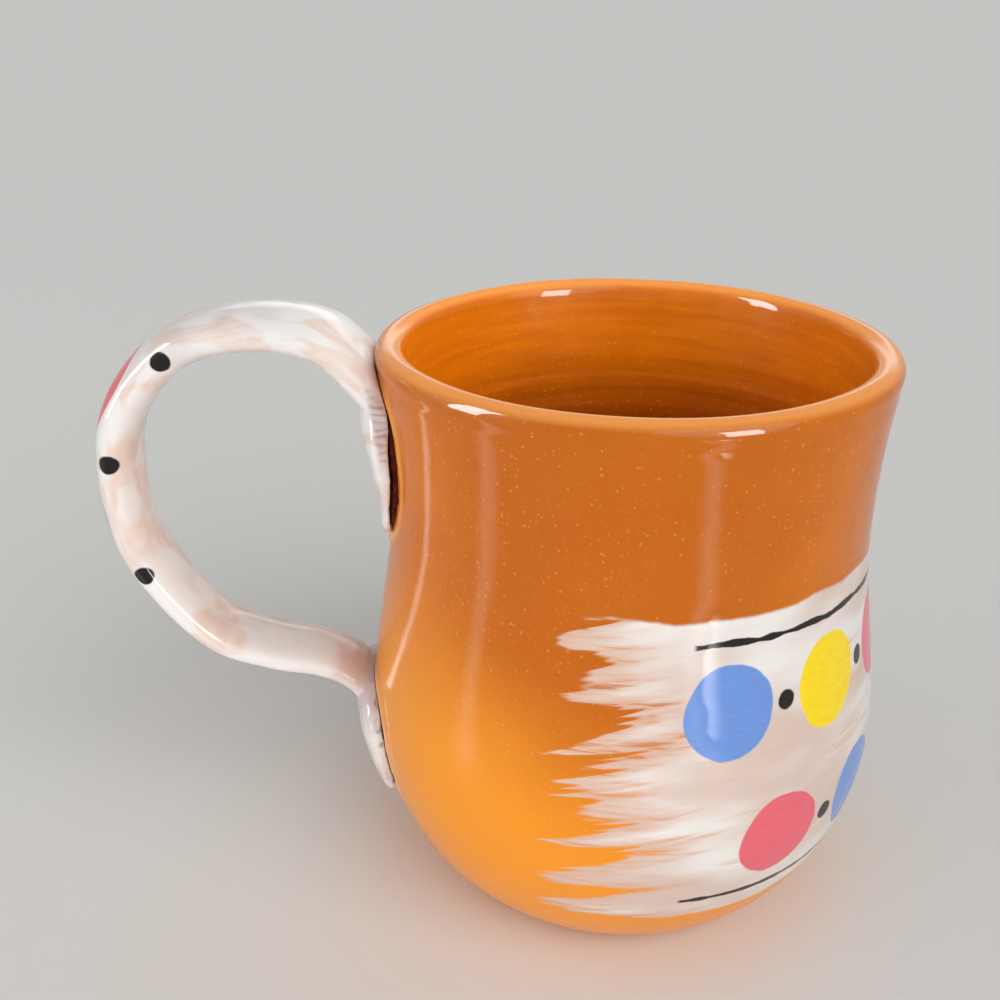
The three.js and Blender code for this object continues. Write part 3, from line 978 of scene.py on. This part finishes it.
def clay_colour(tree, place, outer):
    """Fired red clay with pale grit: painted shade on the front and down in the well; a belly paler partly
    in the clay's tone and partly by painted light; a lip paler partly where the glaze breaks and partly by
    painted sheen.
    """
    x, y, height = split(place)
    inner = 1.0 - outer
    clay = blend(ramp(noise(place, 42.0, 4.0, 0.6), 0.32, 0.68), CLAY_DEEP, CLAY)
    wiped = noise(vector(x, y, height * 16.0), 39.0, 3.0)
    clay = blend(ramp(wiped, 0.4, 0.66, 0.0, 0.45) * inner, clay, CLAY_WIPED)
    # Painted shade on the front of the outer wall, towards the camera, from mid height up.
    front = ramp(x * -0.2 + y * -0.98, 29.0 * MM, 42.0 * MM, 0.0, 0.6) * outer
    clay = blend(front * ramp(height, 46.0 * MM, 64.0 * MM), clay, CLAY_FRONT_SHADE)
    # Paler belly: partly the clay's tone, partly painted light from the lower left, which is why it reaches
    # higher on the handle's side.
    lit_side_rise = ramp(x, -8.0 * MM, -38.0 * MM, 0.0, 15.0 * MM)
    clay = blend(ramp(height - lit_side_rise, 60.0 * MM, 24.0 * MM) * outer, clay, CLAY_BELLY_TONE_AND_LIGHT)
    # Painted shade down the inside wall, fading back towards the floor.
    well_shade = ramp(height, HEIGHT - 10.0 * MM, HEIGHT - 30.0 * MM, 0.0, 0.85) * inner
    above_floor = ramp(height, HEIGHT - 36.0 * MM, HEIGHT - 70.0 * MM, 1.0, 0.4)
    clay = blend(well_shade * above_floor, clay, CLAY_WELL_SHADE)
    # Along the ridge by each tail: painted reflection of the white handle at the upper joint, and a tan
    # tint of slip at the lower joint.
    ridge_sheen_and_slip_tone = blend(ramp(height, 56.0 * MM, 46.0 * MM), CLAY_LIP_AND_SHEEN, SLIP_TAN)
    clay = blend(on_vertices(tree, "ridge_sheen_and_slip") * 0.9, clay, ridge_sheen_and_slip_tone)
    drift = ramp(noise(place, 25.0, 2.0), 0.35, 0.65, 0.3, 0.75)
    grit = specks(tree, 1.0 * MM, 0.25, drift) * ramp(outer, 0.0, 1.0, 0.25, 0.42)
    clay = blend(grit, clay, CLAY_SPECK)
    dust = specks(tree, 0.5 * MM, 0.24, drift) * 0.3
    clay = blend(dust, clay, CLAY_SPECK)
    # Paler lip: partly where the glaze breaks, partly painted sheen.
    lip_break_and_sheen = ramp(height, HEIGHT - 1.7 * MM, HEIGHT - 0.4 * MM, 0.0, 0.75)
    return blend(lip_break_and_sheen, clay, CLAY_LIP_AND_SHEEN)


def glazed_clay():
    """Red clay under clear glaze, with a band of brushed white slip and paint round the belly."""
    material, tree, shader = new_finish("glazed_red_clay")
    place = object_place(tree)
    x, y, height = split(place)
    outer = on_vertices(tree, "outer_side")
    along = calculate("ARCTAN2", y, x) * BELLY_RADIUS
    streaks = placed(tree, BRUSH_STREAKS, Along=along, Across=height)
    bristle = streaks["Bristle"]
    covered, by_start = band_mask(along, height, bristle)
    band = covered * outer
    sheer = ramp(noise(vector(along * 0.4, height), 75.0, 2.0), 0.36, 0.62, 0.0, 0.9)
    slip = blend(larger(sheer, by_start * 0.85), SLIP_BAND, SLIP_WASH)
    scanty = ramp(streaks["Patch"], 0.5, 0.7, 0.0, 0.6) * ramp(bristle, 0.42, 0.62)
    begun_thin = by_start * ramp(bristle, 0.36, 0.6, 0.45, 1.0)
    slip = blend(larger(scanty, begun_thin), slip, SLIP_THIN)
    surface = blend(band, clay_colour(tree, place, outer), slip)
    ink = 0.0
    for level, first, start in (
        (BAND_MIDDLE + ROW_OFFSET, 0, FIRST_DOT),
        (BAND_MIDDLE - ROW_OFFSET, 2, FIRST_DOT + DOT_PITCH / 2),
    ):
        row = {"Across": height - level, "Pitch": DOT_PITCH, "Count": DOT_COUNT, "First": first}
        dots = placed(tree, DABBED_DOTS, Along=along - start, Radius=DOT_RADIUS, **row)
        surface = blend(dots["Mask"] * outer, surface, dots["Color"])
        between = along - (start + DOT_PITCH / 2)
        small = placed(tree, DABBED_DOTS, Along=between, Radius=SMALL_DOT_RADIUS, **row)
        ink = larger(ink, small["Mask"])
    for level, seed in ((BAND_MIDDLE - LINE_OFFSET, 0.2), (BAND_MIDDLE + LINE_OFFSET, 0.9)):
        ink = larger(ink, thin_line(along, height, level, seed))
    surface = blend(ink * outer, surface, PAINT_BLACK)
    laid_on = band * (bristle * 0.4 + 0.6)
    ripple = placed(tree, GLAZE_RIPPLE, Wave=7.0 * MM)["Height"]
    clear_glaze(shader, surface, ripple + laid_on * 0.35, 0.028 * MM)
    shader["Roughness"].default_value = 0.45
    return material


def brushed_slip_handle():
    """White slip brushed along the handle under clear glaze, pinkish where it is thin, with dabbed dots."""
    material, tree, shader = new_finish("brushed_slip_handle")
    along, across, out = split(on_vertices(tree, "strap_map", "Vector"))
    streaks = placed(tree, BRUSH_STREAKS, Along=along * 1.7, Across=across * 0.45 + out * 0.8)
    bristle = streaks["Bristle"]
    patch = ramp(streaks["Patch"], 0.485, 0.565) * ramp(bristle, 0.38, 0.64, 0.5, 1.0)
    dull = ramp(noise(object_place(tree), 95.0, 2.0), 0.5, 0.68, 0.0, 0.3)
    strip, groove_shade_and_flecks, tip = split(on_vertices(tree, "tail_faces", "Vector"))
    slip = SLIP_WHITE
    for share, tone in (
        (patch, SLIP_PEACH),
        (dull, SLIP_LILAC),
        # A lilac tint on the upper tail's side faces, and painted shade on the strap's top by the lower
        # joint.
        (strip * 0.75, SLIP_LILAC),
        # Painted shade in the upper tail's tool marks, and dark slip flecks along the lower seam.
        (groove_shade_and_flecks * 0.6, SLIP_GROOVE_SHADE_AND_FLECKS),
        (tip * 0.9, SLIP_TAN),
        (specks(tree, 3.4 * MM, 0.09, 0.25) * 0.35, CLAY),
    ):
        slip = blend(share, slip, tone)
    off_face = larger(HANDLE_HALF_THICKNESS - out, 0.0)
    row = {"Along": along - HANDLE_DOT_START, "Pitch": HANDLE_DOT_PITCH, "Count": HANDLE_DOT_COUNT}
    off_middle = abs(across) + off_face
    dots = placed(tree, DABBED_DOTS, Across=off_middle, Radius=HANDLE_DOT_RADIUS, First=2, **row)
    surface = blend(dots["Mask"] * over(out, 0.0), slip, dots["Color"])
    row["Along"] = along - (HANDLE_DOT_START - HANDLE_DOT_PITCH / 2)
    row["Count"] = HANDLE_DOT_COUNT - 1
    small = placed(tree, DABBED_DOTS, Across=out, Radius=SMALL_DOT_RADIUS, **row)
    surface = blend(small["Mask"] * over(abs(across), 4.0 * MM), surface, PAINT_BLACK)
    ripple = placed(tree, GLAZE_RIPPLE, Wave=5.0 * MM)["Height"]
    clear_glaze(shader, surface, ripple + bristle * 0.35, 0.06 * MM)
    shader["Roughness"].default_value = 0.5
    return material


def joining_slip():
    """Dark fired slip, rough and specked."""
    material, tree, shader = new_finish("joining_slip")
    cloud = noise(object_place(tree), 900.0, 3.0)
    colour = blend(ramp(cloud, 0.35, 0.65), SLIP_JOINING_DARK, SLIP_JOINING)
    feed(shader["Base Color"], blend(specks(tree, 0.7 * MM, 0.3, 0.35) * 0.4, colour, CLAY_DEEP))
    feed(shader["Roughness"], ramp(cloud, 0.3, 0.7, 0.35, 0.6))
    shader["Specular IOR Level"].default_value = 0.15
    feed(shader["Normal"], bump(cloud, 0.12 * MM))
    return material


def bare_foot():
    """Unglazed clay under the foot, with the curved drag lines of the cutting wire."""
    material, tree, shader = new_finish("bare_foot_clay")
    place = object_place(tree)
    cloud = ramp(noise(place, 130.0, 4.0, 0.6), 0.3, 0.7)
    grit = specks(tree, 1.6 * MM, 0.2, 0.5)
    clay = blend(cloud * 0.5, CLAY_BARE, CLAY)
    feed(shader["Base Color"], blend(grit * 0.6, clay, CLAY_SPECK))
    feed(shader["Roughness"], ramp(cloud, 0.0, 1.0, 0.75, 0.9))
    rings = {"Vector": place, "Scale": 95.0, "Distortion": 2.5, "Detail": 1.0}
    drag = made_by("ShaderNodeTexWave", rings, 1, wave_type="RINGS")
    feed(shader["Normal"], bump(drag + grit * 0.5, 0.12 * MM))
    return material


# Camera, floor and light


def photo_camera():
    data = bpy.data.cameras.new("photo_camera")
    data.lens = CAMERA_LENS
    data.sensor_width = CAMERA_SENSOR
    data.clip_start = 10 * MM
    data.clip_end = 200.0
    camera = bpy.data.objects.new("photo_camera", data)
    bpy.context.scene.collection.objects.link(camera)
    aim = (CAMERA_AIM - CAMERA_PLACE).to_track_quat("-Z", "Y")
    camera.rotation_mode = "QUATERNION"
    camera.location = CAMERA_PLACE
    camera.rotation_quaternion = aim @ Quaternion((0, 0, 1), CAMERA_ROLL)
    bpy.context.scene.camera = camera


def pale_floor():
    half = 40.0
    corners = [(-half, -half, 0), (half, -half, 0), (half, half, 0), (-half, half, 0)]
    floor = piece("pale_floor", corners, [(0, 1, 2, 3)])
    material, _, shader = new_finish("pale_floor")
    shader["Base Color"].default_value = FLOOR_GREY
    shader["Roughness"].default_value = 0.9
    shader["Specular IOR Level"].default_value = 0.0
    floor.data.materials.append(material)


def around_mug(turn, elevation, distance):
    """A place at an angle round the mug from the camera's side, growing to the right, and an angle up."""
    a, e = math.radians(CAMERA_SIDE + turn), math.radians(elevation)
    return Vector((math.cos(a) * math.cos(e), math.sin(a) * math.cos(e), math.sin(e))) * distance


def lamp(data, place, aim):
    """A lamp that faces a point and isn't seen itself."""
    made = bpy.data.objects.new(data.name, data)
    bpy.context.scene.collection.objects.link(made)
    made.location = place
    made.rotation_mode = "QUATERNION"
    made.rotation_quaternion = (Vector(aim) - Vector(place)).to_track_quat("-Z", "Y")
    made.visible_camera = False
    return made


def skylight(strength, spread, place, aim):
    """Even light from a wide patch of sky."""
    data = bpy.data.lights.new("skylight", "SUN")
    data.energy = strength
    data.angle = math.radians(spread)
    lamp(data, place, aim)


def bulb(name, place, power, radius):
    """A small round lamp that shines all ways."""
    data = bpy.data.lights.new(name, "POINT")
    data.energy = power
    data.shadow_soft_size = radius
    return lamp(data, place, place - Vector((0, 0, 1)))


def softbox(name, place, aim, width, height, brightness, faded=None):
    """A flat lamp that may fade to its edges, over shares of its half width and half height."""
    data = bpy.data.lights.new(name, "AREA")
    data.shape = "RECTANGLE"
    data.size, data.size_y = width, height
    data.energy = brightness * math.pi * width * height
    if faded:
        data.use_nodes = True
        tree = data.node_tree
        sides = split(wires(new_node(tree, "ShaderNodeNewGeometry"))["Parametric"])
        wide, high = (ramp(abs(side * 2.0 - 1.0), 1.0, 1.0 - share) for side, share in zip(sides, faded))
        feed(tree.nodes["Emission"].inputs["Strength"], wide * high)
    return lamp(data, place, aim)


def strip_light(name, near, far, facing, width, brightness, end_fade):
    """A slim lamp between two points, in millimetres, which the glaze mirrors as a streak."""
    near, far, facing = Vector(near) * MM, Vector(far) * MM, Vector(facing)
    run = (far - near).normalized()
    back = (run * run.dot(facing) - facing).normalized()
    middle, length = (near + far) / 2, (far - near).length
    strip = softbox(name, middle, far, width * MM, length, brightness, (1.0, end_fade))
    strip.rotation_quaternion = Matrix((run.cross(back), run, back)).transposed().to_quaternion()
    return strip


def studio_light(mug):
    """Soft light from the front and the left, windows for the glaze, and lamps for the mug alone."""
    middle = Vector((-10, 0, 55)) * MM
    skylight(1.4, 56, around_mug(43, 33, 1.5), middle)
    for window_lamp in (
        softbox("left_window", around_mug(-71, 26, 0.9), middle, 0.24, 0.66, 30.0),
        softbox("right_window", around_mug(45, 15, 1.0), middle, 0.27, 0.62, 25.0),
        softbox("back_window", around_mug(180, 19, 1.6), middle, 2.2, 0.4, 1.5, (0.7, 1.0)),
    ):
        window_lamp.visible_diffuse = False
    fill = softbox("left_low", around_mug(-60, 8, 0.7), middle, 0.5, 0.16, 4.2)
    top = softbox("top_light", Vector((0, -5, 165)) * MM, Vector((0, 0, 60)) * MM, 0.09, 0.09, 1.0)
    inside_left = bulb("bowl_light_left", Vector((-17, 4, 99)) * MM, 0.0088, 8 * MM)
    inside_right = bulb("bowl_light_right", Vector((19, 6, 99)) * MM, 0.0055, 8 * MM)
    well = softbox("well_light", Vector((0, 0, 64)) * MM, (0, 0, 0), 0.05, 0.05, 1.8)
    on_table = around_mug(-14, 0, 0.13) + Vector((0, 0, 3 * MM))
    card = softbox("table_card", on_table, (0, 0, 0.2), 0.16, 0.12, 1.6)
    for soft_lamp in (fill, top, inside_left, inside_right, well, card):
        soft_lamp.visible_glossy = False
    up = (0, 0, 1)
    strips = [
        strip_light("front_left_strip", (-80, -50, 1), (-330, -112, 1), up, 46, 2.0, 0.4),
        strip_light("right_strip", (74, -100, 1), (88, -290, 1), up, 38, 2.4, 0.4),
        strip_light("right_glow", (90, -176, 1), (121, -238, 1), up, 52, 11.0, 0.6),
    ]
    under_handle = [
        (-76.5, -8, 80),
        (-69.5, -8, 62.5),
        (-62.6, -8.5, 52.6),
        (-55.5, -9, 46.2),
        (-49.5, -10.5, 40),
    ]
    for number, ends in enumerate(zip(under_handle, under_handle[1:])):
        width = 7.0 - 1.2 * number
        gleam = strip_light(f"handle_gleam_{number}", *ends, (0.8, -0.4, 0.45), width, 2.4, 0.02)
        gleam.visible_diffuse = False
        strips.append(gleam)
    for mug_lamp in (top, inside_left, inside_right, well, card, *strips):
        mug_lamp.light_linking.receiver_collection = mug
    pale_backdrop()


def pale_backdrop():
    """Even white light from all round, which looks like the floor where it is seen or mirrored."""
    world = bpy.data.worlds.new("studio")
    world.use_nodes = True
    rays = wires(new_node(world.node_tree, "ShaderNodeLightPath"))
    mirrored = larger(rays["Is Glossy Ray"], rays["Is Transmission Ray"])
    seen = larger(rays["Is Camera Ray"], mirrored)
    sky = world.node_tree.nodes["Background"].inputs
    sky["Color"].default_value = (1.0, 1.0, 0.99, 1.0)
    feed(sky["Strength"], ramp(seen, 0.0, 1.0, 0.45, 0.56))
    bpy.context.scene.world = world


def mark_wall(bowl):
    """Keeps on each vertex of the bowl whether it is outside, and how near to the ridge along a tail."""
    points = of_vertices(bowl.data, "co")
    radius = np.hypot(points[:, 0], points[:, 1])
    outer = radius > wall_radius(points[:, 2]) - WALL_THICKNESS / 2
    from_handle = np.arctan2(points[:, 1], -points[:, 0])
    near = outer & (np.abs(from_handle) < JOINT_SECTOR) & (points[:, 2] < LIP_HEIGHT)
    sideways, heights = (from_handle * radius)[near], points[near, 2]
    gap = np.minimum(*(edge_distance(sideways, heights, tail) for tail in (UPPER_TAIL, LOWER_TAIL)))
    ridge = np.zeros(len(points))
    # The strip widens towards the lip, where the painted reflection of the handle on the wall is broader.
    strip = RIDGE_WIDTH * (1 + 2.2 * window(heights, HEIGHT - 15 * MM, HEIGHT, 14 * MM))
    ridge[near] = np.exp(-((np.maximum(gap - RIDGE_OFFSET, 0) / strip) ** 2))
    store(bowl.data, "outer_side", outer)
    store(bowl.data, "ridge_sheen_and_slip", ridge)


def main():
    photo_camera()
    pale_floor()
    mug = bpy.data.collections.new("mug")
    bpy.context.scene.collection.children.link(mug)
    studio_light(mug)
    bowl = glazed_bowl()
    mark_wall(bowl)
    handle = brushed_handle()
    upper = slip_pad("upper_slip_pad", UPPER_TAIL, -0.6 * MM, 0.6 * MM, (0.5 * MM, 1.4 * MM), 4.0)
    lower = slip_pad("lower_slip_pad", LOWER_TAIL, -0.1 * MM, 1.0 * MM, (0.5 * MM, 0.4 * MM), 9.0)
    for made, node, slot in (
        (bowl, "thrown_body", "red_clay"),
        (handle, "pulled_handle", "white_slip"),
        (upper, "upper_slip_joint", "joining_slip"),
        (lower, "lower_slip_joint", "joining_slip"),
    ):
        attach(made, "root")
        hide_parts(node)
        mug.objects.link(made)
    bpy.context.scene.view_settings.view_transform = "Standard"


main()
